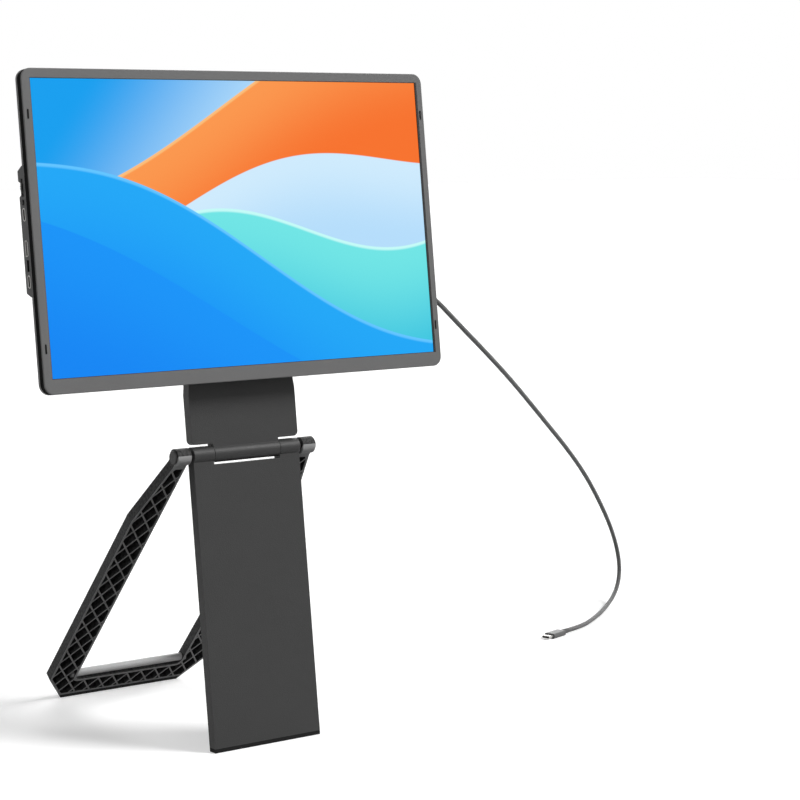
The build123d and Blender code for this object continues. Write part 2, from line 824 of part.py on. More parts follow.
with BuildPart() as front_foot_pad:
    with BuildSketch(stack_plane.offset(-leaf_thickness / 2)):
        with Locations((0, -front_leg_length)):
            Rectangle(2 * spine_half, 4 * foot_pad)
    extrude(amount=leaf_thickness)
    split(bisect_by=Plane.XY.offset(foot_pad), keep=Keep.BOTTOM)
    split(bisect_by=Plane.XY, keep=Keep.TOP)
finish(front_foot_pad, "front_foot_pad")

# Rear leg: two strips joined by a foot bar, ribbed on the inner face
leg_window_half = leg_knuckle_start
leg_strip_top = -knuckle_radius - knuckle_clear
leg_below = leaf_thickness  # the outline runs on below the desk, and is cut level there
leg_foot_half = leg_half - (leg_chamfer_rise + leg_below) / tan(radians(rib_angle))
rear_foot_rim = (foot_pad + leaf_thickness / 2 * cos(radians(rear_rise))) / sin(radians(rear_rise)) + rim
leg_outline = [
    (-leg_foot_half, -rear_leg_length - leg_below),
    (-leg_half, leg_chamfer_rise - rear_leg_length),
    (-leg_half, leg_taper_start - rear_leg_length),
    (-elbow_pin_half, leg_strip_top),
    (elbow_pin_half, leg_strip_top),
    (leg_half, leg_taper_start - rear_leg_length),
    (leg_half, leg_chamfer_rise - rear_leg_length),
    (leg_foot_half, -rear_leg_length - leg_below),
]
rod_centre = elbow - leg_up * (rear_leg_length - rod_rise)


def take_out_window(grow=0):
    """Take the rear leg's window out of the sketch that is open."""
    with Locations((0, leg_window_rise - grow - rear_leg_length)):
        RectangleRounded(
            2 * (leg_window_half + grow),
            rear_leg_length + leg_window_corner,
            leg_window_corner,
            align=(Align.CENTER, Align.MIN),
            mode=Mode.SUBTRACT,
        )


with BuildPart() as rear_leg:
    with BuildSketch(leg_plane.offset(-leaf_thickness / 2)):
        with BuildLine():
            Polyline(*leg_outline, close=True)
        make_face()
        for side in (-1, 1):
            with Locations((side * (leg_knuckle_start + leg_knuckle_width / 2), 0)):
                Rectangle(leg_knuckle_width, knuckle_radius * 3, align=(Align.CENTER, Align.MAX))
        take_out_window()
    extrude(amount=leaf_thickness)
    for side in (-1, 1):
        near = min(side * leg_knuckle_start, side * elbow_pin_half)
        rod_along_x(elbow, knuckle_radius, near, near + leg_knuckle_width)
    with BuildSketch(leg_plane.offset(leaf_thickness / 2)):
        with BuildLine():
            Polyline(*leg_outline, close=True)
        make_face()
        offset(amount=-rim, mode=Mode.REPLACE)
        take_out_window(rim)
        with Locations((0, -rear_leg_length)):
            Rectangle(2 * leg_half, 2 * rear_foot_rim, mode=Mode.SUBTRACT)
        with Locations((0, rib_crossing - rear_leg_length)):
            take_out_ribs(2 * leg_half, rear_leg_length, rib_pitch)
    extrude(amount=-pocket_depth, mode=Mode.SUBTRACT)
    rod_along_x(elbow, pin_radius + running_gap, -elbow_pin_half, elbow_pin_half, mode=Mode.SUBTRACT)
    rod_along_x(
        rod_centre, rod_radius, -leg_window_half - rod_seat, leg_window_half + rod_seat, mode=Mode.SUBTRACT
    )
    split(bisect_by=Plane.XY.offset(foot_pad), keep=Keep.TOP)
finish(rear_leg, "rear_leg")

with BuildPart() as leg_rod:
    rod_along_x(rod_centre, rod_radius, -leg_window_half - rod_seat, leg_window_half + rod_seat)
finish(leg_rod, "leg_rod")

with BuildPart() as rear_foot_pad:
    with BuildSketch(leg_plane.offset(-leaf_thickness / 2)):
        with BuildLine():
            Polyline(*leg_outline, close=True)
        make_face()
    extrude(amount=leaf_thickness)
    split(bisect_by=Plane.XY.offset(foot_pad), keep=Keep.BOTTOM)
    split(bisect_by=Plane.XY, keep=Keep.TOP)
finish(rear_foot_pad, "rear_foot_pad")

# Cover, board and socket of the cable, on the right of the back
cover_middle = (port_cover_right - port_cover_length / 2, -port_cover_drop)
cable_cover_back = case_back + port_cover_rise
cable_depth = case_back + small_board[2] + usb_port_size[1] / 2
with BuildPart() as cable_port_cover:
    with BuildSketch(behind(case_back)):
        with Locations(cover_middle):
            RectangleRounded(port_cover_length, port_cover_height, port_cover_corner)
    extrude(amount=-port_cover_rise)
    top_face = cable_port_cover.faces().sort_by(Axis(case_centre, lean_back))[-1]
    chamfer(top_face.outer_wire().edges(), port_cover_edge)
    with BuildSketch(behind(case_back)):
        with Locations(cover_middle):
            Rectangle(port_cover_length - 2 * housing_wall, port_cover_height - 2 * housing_wall)
    extrude(amount=housing_wall - port_cover_rise, mode=Mode.SUBTRACT)
    with BuildSketch(across(port_cover_right)):
        with Locations((cable_depth, -port_cover_drop)):
            SlotOverall(usb_port_size[0] + 2 * port_gap, usb_port_size[1] + 2 * port_gap, rotation=90)
    extrude(amount=-housing_wall, mode=Mode.SUBTRACT)
finish(cable_port_cover, "cable_port_cover")

with BuildPart() as cable_port_board:
    with BuildSketch(behind(case_back)):
        with Locations((port_cover_right - housing_wall - 1, -port_cover_drop)):
            Rectangle(small_board[0], small_board[1], align=(Align.MAX, Align.CENTER))
    extrude(amount=-small_board[2])
finish(cable_port_board, "cable_port_board")

cable_face = port_cover_right - port_sink
finish(usb_port(cable_face, cable_depth, -port_cover_drop, -1), "usb_c_port_cable")


def plug_parts(nose, direction, side_dir, prefix):
    """Plug at one end of the cable: metal shell, overmould and strain relief.

    nose is the middle of the overmould's front face, direction points to the cable.
    Returns the point where the cable starts.
    """
    shell_width, shell_thick, shell_length = plug_shell
    body_length, body_width, body_thick = plug_body
    front = Plane(nose, x_dir=side_dir, z_dir=direction)
    with BuildPart() as shell:
        with BuildSketch(front):
            SlotOverall(shell_width, shell_thick)
            SlotOverall(shell_width - 0.6, shell_thick - 0.6, mode=Mode.SUBTRACT)
        extrude(amount=-shell_length)
    finish(shell, f"{prefix}_plug_shell")
    with BuildPart() as body:
        with BuildSketch(front):
            RectangleRounded(body_width, body_thick, plug_corner)
        extrude(amount=body_length)
        chamfer(body.faces().sort_by(Axis(nose, direction))[-1].edges(), 0.7)
    finish(body, f"{prefix}_plug_body")
    with BuildPart() as relief:
        with BuildSketch(front.offset(body_length)):
            Circle(relief_radius)
        with BuildSketch(front.offset(body_length + relief_length)):
            Circle(relief_neck)
        loft(ruled=True)
    finish(relief, f"{prefix}_strain_relief")
    return nose + Vector(*direction) * (body_length + relief_length)


near_nose = case_centre + Vector(port_cover_right + seat, 0, 0)
near_nose = near_nose + lean_back * cable_depth - lean_up * port_cover_drop
cable_start = plug_parts(near_nose, Vector(1, 0, 0), lean_up, "near")

far_direction = Vector(cos(radians(far_plug_turn)), sin(radians(far_plug_turn)), 0)
far_side = Vector(-far_direction.Y, far_direction.X, 0)
far_nose = Vector(*far_plug_place, plug_body[2] / 2)
cable_end = plug_parts(far_nose, far_direction, far_side, "far")

# Cable: leaves to the right, falls to the desk behind the monitor and turns back to its plug
floor_run = cable_radius + 0.05
cable_route = [
    cable_start,
    cable_start + Vector(21, 0, 0),
    Vector(192, 38, 333),
    Vector(236, 52, 304),
    Vector(278, 75, 279),
    Vector(322, 99, 256),
    Vector(366, 125, 228),
    Vector(410, 150, 200),
    Vector(454, 174, 170),
    Vector(498, 199, 138),
    Vector(534, 217.5, 107),
    Vector(563, 232, 80),
    Vector(582, 241.5, 56),
    Vector(588, 245, 35),
    Vector(583.5, 242, 16),
    Vector(570.5, 234, 3.3),
    Vector(546, 219, floor_run),
    Vector(522, 202, floor_run),
    Vector(497, 183, floor_run),
    cable_end + far_direction * 27,
    cable_end,
]
turn_radii = []
route_length = 0
for i in range(1, len(cable_route) - 1):
    into = cable_route[i] - cable_route[i - 1]
    away = cable_route[i + 1] - cable_route[i]
    turn = into.get_angle(away)
    shorter = min(into.length, away.length)
    turn_radii.append(0.45 * shorter / tan(radians(turn / 2)))
    print(f"cable point {i}: run {into.length:.1f}, turn {turn:.1f}, radius {turn_radii[-1]:.1f}")
with BuildPart() as cable:
    with BuildLine() as cable_line:
        FilletPolyline(*cable_route, radius=turn_radii)
    with BuildSketch(Plane(cable_start, z_dir=cable_route[1] - cable_route[0])):
        RegularPolygon(cable_radius, cable_sides)
    sweep(path=cable_line.wires()[0])
finish(cable, "cable")
cable_length = cable_line.wires()[0].length
section = cable_sides / 2 * cable_radius**2 * sin(radians(360 / cable_sides))
print(f"cable length {cable_length:.1f}, volume ratio {cable.part.volume / section / cable_length:.4f}")
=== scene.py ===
import math

import bmesh
import bpy
from mathutils import Matrix, Vector


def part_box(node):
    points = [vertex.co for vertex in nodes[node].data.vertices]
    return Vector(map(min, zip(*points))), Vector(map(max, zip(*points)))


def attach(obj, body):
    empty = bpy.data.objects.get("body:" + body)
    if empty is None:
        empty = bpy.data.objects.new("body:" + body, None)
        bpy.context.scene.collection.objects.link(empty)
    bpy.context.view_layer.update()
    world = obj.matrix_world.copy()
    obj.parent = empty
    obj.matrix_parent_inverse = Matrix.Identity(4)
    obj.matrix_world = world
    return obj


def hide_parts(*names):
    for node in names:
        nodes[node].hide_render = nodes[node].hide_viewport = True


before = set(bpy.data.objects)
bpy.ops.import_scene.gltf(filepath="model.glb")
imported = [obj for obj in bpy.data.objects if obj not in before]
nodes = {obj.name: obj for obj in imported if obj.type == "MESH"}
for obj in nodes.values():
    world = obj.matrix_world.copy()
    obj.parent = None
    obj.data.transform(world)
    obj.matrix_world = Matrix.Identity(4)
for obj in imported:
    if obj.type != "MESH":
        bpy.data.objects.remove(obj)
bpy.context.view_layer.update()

# The leaning screen, set out from the middle of its picture
LEAN = math.radians(7.03)
UP = Vector((0, math.sin(LEAN), math.cos(LEAN)))
BACK = Vector((0, math.cos(LEAN), -math.sin(LEAN)))
RIGHT = Vector((1, 0, 0))
PANEL_THICKNESS = 0.0013
PICTURE_SIZE = (0.3447, 0.2154)
WINDOW_SIZE = (0.3451, 0.2158)
WINDOW_RISE = 0.0021  # the picture's middle over the case's middle
CASE_HALF = (0.1795, 0.1171)
panel_low, panel_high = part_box("display_panel")
picture_middle = (panel_low + panel_high) / 2 - BACK * (PANEL_THICKNESS / 2)
case_middle = picture_middle - UP * WINDOW_RISE

# The bezel's face, and the painted shade round its window: a dark lip painted on the bezel where its
# inner wall lies in shade, widest on the right
BEZEL_FACE = 0.0006  # in front of the picture
BEZEL_CHAMFER = 0.0004
SHADE_LIP_WIDTH = 0.0003
SHADE_LIP_WIDTH_RIGHT = 0.0019
BEZEL_BLUR = 0.0001  # over which grey turns to black

# The rear leg's inner face, where the tops of its ribs and rim get a painted highlight
REAR_RISE = math.radians(48.2)
LEG_INWARD = Vector((0, -math.sin(REAR_RISE), -math.cos(REAR_RISE)))
LEAF_HALF = 0.004
RIB_HIGHLIGHT_BLUR = (0.00025, 0.0001)  # below the leaf's face
ELBOW_UP = 0.225
elbow = UP * ELBOW_UP

# Screws: radii and depths. The top's radius, and the cross's reach and half width at its
# top and floor, are shares of the head's radius.
SCREW_HEAD = 0.00235
SCREW_HEAD_DEPTH = 0.0007
SCREW_DOME = 0.00022
SCREW_SHANK = 0.0011
SCREW_TOP = 0.78
CROSS_TOP = (0.55, 0.15)
CROSS_FLOOR = (0.42, 0.1)
CROSS_DEPTH = 0.00052
SCREW_SIDES = 24

# Screws of the rear cover and of the swivel plate, with these two's outer faces
CASE_BACK = 0.0097  # behind the picture
COVER_SCREW_IN = 0.009  # from the case's sides
COVER_SCREW_LENGTH = 0.0043
PLATE_BACK = 0.0123  # behind the picture
SWIVEL_SCREW_CIRCLE = 0.026  # radius round the case's middle
SWIVEL_SCREW_LENGTH = 0.0038

# Rims of the sockets: a flat ring with a sleeve that lines the opening
RIM_PROUD = 0.00012
RIM_WIDTH = 0.00045
RIM_SINK = 0.0006
RIM_SLEEVE = 0.00015

# Openings of the sockets
USB_OPENING = (0.0085, 0.0028)
MINI_VIDEO_OPENING = (0.0108, 0.0028)

# Sockets in the hump's side, down from the case's top edge
HUMP_SIDE = -0.1792
PORT_DEPTH = 0.011  # behind the picture
POWER_DOWN = 0.1039
VIDEO_DOWN = 0.1521
MINI_VIDEO_DOWN = 0.1282

# The cable's socket in the side of its cover, from the case's middle
PORT_COVER_RIGHT = 0.1095
PORT_COVER_UP = -0.0471
CABLE_DEPTH = 0.0123  # behind the picture

# Cable: the route's points, from the strain relief at the monitor to the plug on the desk
CABLE_ROUTE = [
    (0.1406, 0.032082, 0.347587),
    (0.1616, 0.032082, 0.347587),
    (0.1929, 0.0403, 0.333),
    (0.2321, 0.055, 0.307),
    (0.2766, 0.075, 0.2802),
    (0.3216, 0.0989, 0.2543),
    (0.3661, 0.1245, 0.2279),
    (0.411, 0.1498, 0.2002),
    (0.4566, 0.1737, 0.171),
    (0.4996, 0.1963, 0.1398),
    (0.5356, 0.2165, 0.1088),
    (0.5637, 0.2317, 0.0804),
    (0.5818, 0.2413, 0.0553),
    (0.589, 0.2443, 0.0335),
    (0.5844, 0.2416, 0.0163),
    (0.5694, 0.2331, 0.006),
    (0.5476, 0.2184, 0.0025),
    (0.5231, 0.1998, 0.00205),
    (0.4971, 0.1821, 0.00205),
    (0.471732, 0.166064, 0.0024),
    (0.445788, 0.158586, 0.0024),
]
CABLE_RADIUS = 0.002

# Strain reliefs: a taper with grooves, whose places are shares of its length
RELIEF_LENGTH = 0.011
RELIEF_RADIUS = 0.0024
RELIEF_NECK = 0.0021
RELIEF_CHAMFER = (0.0003, 0.0002)
GROOVES = 6
GROOVES_START = 0.12
GROOVES_SPAN = 0.8
GROOVE_WIDTH = 0.05
GROOVE_DEPTH = 0.0002
GROOVE_SLOPE = 0.0001
RELIEF_SIDES = 20

# The photograph's camera, placed from the middle of the picture, in metres and degrees
CAMERA_OFFSET = Vector((-0.9807, -1.4956, 0.0722))
CAMERA_AZIMUTH = -37.06
CAMERA_ELEVATION = 6.63
CAMERA_LENS = 105.75
CAMERA_SENSOR = 36
CAMERA_REACH = 50

# The floor, with its colour as it is seen and as it lights the object, and the world
FLOOR_HALF = 14.0
FLOOR_SEEN = (0.8, 0.8, 0.8, 1)
FLOOR_LIGHT = (0.2, 0.2, 0.2, 1)
FLOOR_GLOW = 0.32
WORLD_LIGHT = 0.1

# Where each sun stands, its strength, and how wide it is in degrees
SUNS = {
    "key": ((0.75, -0.75, 0.9), 3.3, 25),
    "fill": ((-1.0, -0.45, 0.4), 0.85, 50),
    "back": ((0.5, 0.9, 0.7), 1.5, 40),
}

# Plastics: broad patches and grain, what each adds to the roughness, and the soft edges
BROAD_SCALE = 22
BROAD_ROUGHNESS = (-0.11, -0.01)
GRAIN_STEP = (0.32, 0.68)
GRAIN_ROUGHNESS = 0.12
MOULDED_EDGE = 0.00035

# Metals: drawn lines and turned rings
DRAWN_SCALE = (40, 2200, 2200)
DRAWN_SHADE = 0.82
DRAWN_ROUGHNESS = (-0.08, 0.1)
TURNED_SCALE = 2600
TURNED_SHADE = 0.8
TURNED_ROUGHNESS = (-0.06, 0.1)
METAL_RELIEF = 0.00001
METAL_EDGE = 0.0002

# Circuit boards
TRACK_SCALE = 2600
TRACK_STEP = (0.82, 0.9)
PAD_SCALE = 260.0
PAD_STEP = (0.16, 0.12)
BOARD_RELIEF = 0.0001
BOARD_EDGE = 0.0001

# The cable's sleeve: strands each way round, and how often they go round from end to end
STRANDS = 8
STRAND_TURNS = 340
WEAVE_SHADE = (0.25, 1.3)
WEAVE_ROUGHNESS = (0.7, 0.42)
WEAVE_RELIEF = 0.0002


def add_camera():
    """The camera at the photograph's viewpoint."""
    data = bpy.data.cameras.new("camera")
    data.lens = CAMERA_LENS
    data.sensor_width = CAMERA_SENSOR
    data.clip_end = CAMERA_REACH
    camera = bpy.data.objects.new("camera", data)
    camera.location = picture_middle + CAMERA_OFFSET
    tilt = 90 - CAMERA_ELEVATION
    camera.rotation_euler = (math.radians(tilt), 0, math.radians(CAMERA_AZIMUTH))
    bpy.context.scene.collection.objects.link(camera)
    bpy.context.scene.camera = camera


def behind(x, up, depth):
    """Point at rest: x and up from the middle of the case, depth behind the picture's plane."""
    return case_middle + RIGHT * x + UP * up + BACK * depth


def srgb(red, green, blue):
    """Colour from 0 to 255 display values, as the linear values that shaders use."""
    def linear(value):
        value = value / 255
        return value / 12.92 if value <= 0.04045 else ((value + 0.055) / 1.055) ** 2.4

    return (linear(red), linear(green), linear(blue), 1.0)


def grey(value):
    return srgb(value, value, value)


def scaled(colour, factor):
    """The colour made darker or lighter."""
    return tuple(min(1, channel * factor) for channel in colour[:3]) + (1,)


class Nodes:
    """Adds nodes to one node tree, socket by socket."""

    def __init__(self, tree):
        self.tree = tree

    def put(self, socket, value):
        """Set a socket to a number or colour, or link it to an output."""
        if isinstance(value, bpy.types.NodeSocket):
            self.tree.links.new(value, socket)
        else:
            socket.default_value = value

    def node(self, kind, values=None, **settings):
        """A node with its settings and its inputs, by name or number."""
        made = self.tree.nodes.new(kind)
        for name, value in settings.items():
            setattr(made, name, value)
        for key, value in (values or {}).items():
            self.put(made.inputs[key], value)
        return made

    def maths(self, operation, first, second=0.0, third=0.0):
        values = {0: first, 1: second, 2: third}
        return self.node("ShaderNodeMath", values, operation=operation).outputs[0]

    def vector(self, operation, first, second, output=0):
        values = {0: first, 1: tuple(second)}
        return self.node("ShaderNodeVectorMath", values, operation=operation).outputs[output]

    def place(self):
        """Position on the piece at rest, in metres."""
        return self.node("ShaderNodeTexCoord").outputs["Object"]

    def along(self, direction, origin=(0, 0, 0)):
        """Distance along a direction from an origin."""
        offset = self.vector("SUBTRACT", self.place(), origin)
        return self.vector("DOT_PRODUCT", offset, direction, "Value")

    def noise(self, scale, detail, place=None):
        values = {"Vector": place or self.place(), "Scale": scale, "Detail": detail}
        return self.node("ShaderNodeTexNoise", values).outputs["Fac"]

    def between(self, factor, low, high):
        """Number that goes from low to high as factor goes from 0 to 1."""
        values = {"Value": factor, "To Min": low, "To Max": high}
        return self.node("ShaderNodeMapRange", values).outputs["Result"]

    def step(self, value, start, end):
        """0 before start, 1 after end, smooth between."""
        values = {"Value": value, "From Min": start, "From Max": end}
        made = self.node("ShaderNodeMapRange", values, interpolation_type="SMOOTHSTEP")
        return made.outputs["Result"]

    def blend(self, factor, first, second):
        """Colour between two colours."""
        made = self.node("ShaderNodeMix", {"Factor": factor}, data_type="RGBA")
        self.put(made.inputs[6], first)
        self.put(made.inputs[7], second)
        return made.outputs[2]


class Material(Nodes):
    """Node material with the given values on its shader."""

    def __init__(self, name, **values):
        self.material = bpy.data.materials.new(name)
        self.material.use_nodes = True
        super().__init__(self.material.node_tree)
        self.surface = self.tree.nodes["Principled BSDF"]
        for socket, value in values.items():
            self.set(socket.replace("_", " "), value)

    def set(self, socket, value):
        self.put(self.surface.inputs[socket], value)

    def relief(self, height, depth, edge=None):
        """Bump of that depth in metres, over edges rounded by the radius edge."""
        values = {"Height": height, "Distance": depth, "Strength": 1.0}
        if edge:
            values["Normal"] = self.node("ShaderNodeBevel", {"Radius": edge}, samples=4).outputs[0]
        self.set("Normal", self.node("ShaderNodeBump", values).outputs[0])


def moulded(name, colour, roughness, grain=2600, depth=0.00004, spread=0.12, speckle=0.4,
            gloss=0.3, mask=None, masked=None):
    """Moulded plastic, paint or rubber: fine grain, slight unevenness, rounded edges.

    speckle is the grain's share of the colour's spread. mask takes the material and gives a
    factor from 0 to 1, which blends to the colour masked.
    """
    made = Material(name, Specular_IOR_Level=gloss)
    broad = made.noise(BROAD_SCALE, 3)
    fine = made.step(made.noise(grain, 2), *GRAIN_STEP)
    mixture = made.maths("MULTIPLY_ADD", broad, 1 - speckle, made.maths("MULTIPLY", fine, speckle))
    base = made.blend(mixture, scaled(colour, 1 - spread), scaled(colour, 1 + spread))
    if mask:
        base = made.blend(mask(made), base, masked)
    made.set("Base Color", base)
    uneven = made.between(broad, *[roughness + change for change in BROAD_ROUGHNESS])
    made.set("Roughness", made.maths("MULTIPLY_ADD", fine, GRAIN_ROUGHNESS, uneven))
    made.relief(fine, depth, MOULDED_EDGE)
    return made.material


def metal(name, colour, roughness):
    """Metal with fine drawn lines along X."""
    made = Material(name, Metallic=1.0)
    lines = made.noise(1.0, 3, made.vector("MULTIPLY", made.place(), DRAWN_SCALE))
    made.set("Base Color", made.blend(lines, scaled(colour, DRAWN_SHADE), colour))
    made.set("Roughness", made.between(lines, *[roughness + change for change in DRAWN_ROUGHNESS]))
    made.relief(lines, METAL_RELIEF, METAL_EDGE)
    return made.material


def turned(name, colour, roughness, middle):
    """Metal turned on a lathe: fine rings round a middle."""
    made = Material(name, Metallic=1.0)
    offset = made.vector("SUBTRACT", made.place(), middle)
    away = made.vector("LENGTH", offset, (0, 0, 0), "Value")
    reach = made.maths("MULTIPLY", away, TURNED_SCALE)
    rings = made.noise(1.0, 2, made.node("ShaderNodeCombineXYZ", {0: reach}).outputs[0])
    made.set("Base Color", made.blend(rings, scaled(colour, TURNED_SHADE), colour))
    made.set("Roughness", made.between(rings, *[roughness + change for change in TURNED_ROUGHNESS]))
    made.relief(rings, METAL_RELIEF, METAL_EDGE)
    return made.material


def board(name):
    """Green circuit board with thin tracks and pads."""
    made = Material(name, Roughness=0.35)
    values = {"Vector": made.place(), "Scale": PAD_SCALE}
    cells = made.node("ShaderNodeTexVoronoi", values, distance="MANHATTAN").outputs["Distance"]
    diagonal = made.maths("ADD", made.along(RIGHT), made.along(UP))
    wave = made.maths("SINE", made.maths("MULTIPLY", diagonal, TRACK_SCALE))
    track = made.step(made.maths("ABSOLUTE", wave), *TRACK_STEP)
    pads = made.step(cells, *PAD_STEP)
    green = made.blend(track, srgb(16, 74, 44), srgb(40, 112, 70))
    made.set("Base Color", made.blend(pads, green, srgb(196, 178, 120)))
    made.relief(cells, BOARD_RELIEF, BOARD_EDGE)
    return made.material


# The picture's sky: its colours, how its fade leans, and where it starts and ends
SKY = (srgb(0, 157, 238), srgb(190, 227, 251))
SKY_LEAN = -0.5
SKY_FADE = (-0.62, 0.0)

# Its ribbons, from the back to the front, in shares of the picture from its middle. A crest's
# height is base, plus slope across the picture, plus a wave of that swing, with so many radians
# across the picture and that shift. Below a crest the colour goes from the crest's to the deep
# one over depth. line is the colour of a bright line on the crest.
RIBBONS = [
    {
        "base": 0.43, "slope": 0.62, "swing": 0.07, "radians": 5.0, "shift": 0.2, "depth": 0.42,
        "crest": srgb(250, 150, 74), "deep": srgb(246, 112, 36), "line": srgb(252, 190, 120),
    },
    {
        "base": 0.10, "slope": 0.30, "swing": 0.09, "radians": 5.6, "shift": 0.9, "depth": 0.3,
        "crest": srgb(206, 234, 252), "deep": srgb(180, 220, 250), "line": None,
    },
    {
        "base": -0.06, "slope": 0.20, "swing": 0.13, "radians": 5.6, "shift": 2.2, "depth": 0.5,
        "crest": srgb(110, 228, 228), "deep": srgb(40, 190, 222), "line": srgb(196, 250, 246),
    },
    {
        "base": -0.10, "slope": -0.56, "swing": 0.10, "radians": 5.0, "shift": 2.9, "depth": 0.55,
        "crest": srgb(22, 166, 246), "deep": srgb(0, 142, 246), "line": srgb(96, 196, 255),
    },
    {
        "base": -0.36, "slope": -0.62, "swing": 0.08, "radians": 4.4, "shift": 3.4, "depth": 0.5,
        "crest": srgb(8, 146, 247), "deep": srgb(0, 132, 243), "line": None,
    },
]
RIBBON_BLUR = 0.002
RIBBON_LINE = (0.016, 0.006)  # below the crest, where its line has ended and where it starts to
PICTURE_EDGE = (0.5, 0.5004)
PANEL_BLACK = (0.004, 0.004, 0.005, 1)


def picture():
    """Lit picture of soft ribbons in sky blue, blue, orange and teal, with a black border."""
    made = Material("lit_picture", Roughness=0.32, Specular_IOR_Level=0.06, Emission_Strength=1.0)
    made.set("Base Color", PANEL_BLACK)
    across = made.maths("DIVIDE", made.along(RIGHT, picture_middle), PICTURE_SIZE[0])
    upward = made.maths("DIVIDE", made.along(UP, picture_middle), PICTURE_SIZE[1])
    fade = made.maths("MULTIPLY_ADD", upward, SKY_LEAN, across)
    colour = made.blend(made.step(fade, *SKY_FADE), *SKY)
    for ribbon in RIBBONS:
        turn = made.maths("MULTIPLY_ADD", across, ribbon["radians"], ribbon["shift"])
        wave = made.maths("SINE", turn)
        slope = made.maths("MULTIPLY_ADD", across, ribbon["slope"], ribbon["base"])
        crest = made.maths("MULTIPLY_ADD", wave, ribbon["swing"], slope)
        below = made.maths("SUBTRACT", crest, upward)
        fill = made.blend(made.step(below, 0.0, ribbon["depth"]), ribbon["crest"], ribbon["deep"])
        if ribbon["line"]:
            fill = made.blend(made.step(below, *RIBBON_LINE), fill, ribbon["line"])
        colour = made.blend(made.step(below, -RIBBON_BLUR, RIBBON_BLUR), colour, fill)
    out = made.maths("MAXIMUM", made.maths("ABSOLUTE", across), made.maths("ABSOLUTE", upward))
    made.set("Emission Color", made.blend(made.step(out, *PICTURE_EDGE), colour, (0, 0, 0, 1)))
    return made.material


def braid(name, colour):
    """Woven sleeve: two sets of strands that cross round the cable."""
    made = Material(name, Specular_IOR_Level=0.3)
    chart = made.node("ShaderNodeSeparateXYZ", {0: made.node("ShaderNodeTexCoord").outputs["UV"]})
    length = made.maths("MULTIPLY", chart.outputs[0], 2 * math.pi * STRAND_TURNS)
    round_about = made.maths("MULTIPLY", chart.outputs[1], 2 * math.pi * STRANDS)
    one = made.maths("SINE", made.maths("ADD", length, round_about))
    other = made.maths("SINE", made.maths("SUBTRACT", length, round_about))
    height = made.between(made.maths("MULTIPLY", one, other), 0.0, 1.0)
    made.set("Base Color", made.blend(height, *[scaled(colour, shade) for shade in WEAVE_SHADE]))
    made.set("Roughness", made.between(height, *WEAVE_ROUGHNESS))
    made.relief(height, WEAVE_RELIEF)
    return made.material


def give(material, *names):
    """Put a material on CAD nodes."""
    for name in names:
        for slot in nodes[name].material_slots:
            slot.material = material


def add_piece(name, mesh, material, body, replaces=()):
    """Link a mesh as one piece of the object."""
    data = bpy.data.meshes.new(name)
    bmesh.ops.recalc_face_normals(mesh, faces=mesh.faces)
    mesh.to_mesh(data)
    mesh.free()
    data.materials.append(material)
    piece = bpy.data.objects.new(name, data)
    bpy.context.scene.collection.objects.link(piece)
    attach(piece, body)
    if replaces:
        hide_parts(*replaces)
    return piece


def facing(middle, out, up):
    """Matrix whose z points out and whose y points up, set at middle."""
    side = up.cross(out).normalized()
    turn = Matrix((side, up.normalized(), out.normalized())).transposed().to_4x4()
    return Matrix.Translation(middle) @ turn


def loop(mesh, points, place):
    """Closed loop of new vertices in a placed plane, from (x, y, z) points."""
    return [mesh.verts.new(place @ Vector(point)) for point in points]


def skin(mesh, first, second):
    """Faces between two loops of the same count."""
    for i, vertex in enumerate(first):
        after = (i + 1) % len(first)
        mesh.faces.new((vertex, first[after], second[after], second[i]))


def fill_between(mesh, outer, inner):
    """Flat faces between an outer loop and a loop inside it."""
    edges = []
    for ring in (outer, inner):
        for i, vertex in enumerate(ring):
            after = ring[(i + 1) % len(ring)]
            edges.append(mesh.edges.get((vertex, after)) or mesh.edges.new((vertex, after)))
    bmesh.ops.triangle_fill(mesh, edges=edges, use_beauty=True)


def circle(radius, z, count):
    turns = [2 * math.pi * i / count for i in range(count)]
    return [(radius * math.cos(turn), radius * math.sin(turn), z) for turn in turns]


def cross(reach, half, z):
    """Outline of the cross in a screw's head."""
    quarter = [(reach, -half), (reach, half), (half, half)]
    points = []
    for turn in range(4):
        cosine, sine = round(math.cos(turn * math.pi / 2)), round(math.sin(turn * math.pi / 2))
        points += [(x * cosine - y * sine, x * sine + y * cosine, z) for x, y in quarter]
    return points


def add_screw(mesh, place, length):
    """Low domed screw with a cross recess. Its z is outward and its top is at 0."""
    rings = [
        (SCREW_HEAD * SCREW_TOP, 0.0),
        (SCREW_HEAD, -SCREW_DOME),
        (SCREW_HEAD, -SCREW_HEAD_DEPTH),
        (SCREW_SHANK, -SCREW_HEAD_DEPTH),
        (SCREW_SHANK, -length),
    ]
    loops = [loop(mesh, circle(radius, z, SCREW_SIDES), place) for radius, z in rings]
    for first, second in zip(loops, loops[1:]):
        skin(mesh, first, second)
    mesh.faces.new(loops[-1])
    top, floor = [
        loop(mesh, cross(SCREW_HEAD * reach, SCREW_HEAD * half, z), place)
        for (reach, half), z in ((CROSS_TOP, 0.0), (CROSS_FLOOR, -CROSS_DEPTH))
    ]
    fill_between(mesh, loops[0], top)
    skin(mesh, top, floor)
    mesh.faces.new(floor)


def add_screws(name, spots, depth, length, material):
    """Screws of one CAD node, seen from behind the case."""
    mesh = bmesh.new()
    for x, up in spots:
        add_screw(mesh, facing(behind(x, up, depth), BACK, UP), length)
    add_piece(f"{name}_detailed", mesh, material, "screen", [name])


def stadium(length, width, z):
    """Outline with two round ends, long in y."""
    count = 10
    radius = width / 2
    reach = length / 2 - radius
    points = []
    for end in (0, 1):
        for i in range(count + 1):
            turn = math.pi * (end + i / count)
            points.append((radius * math.cos(turn), reach * (1 - 2 * end) + radius * math.sin(turn), z))
    return points


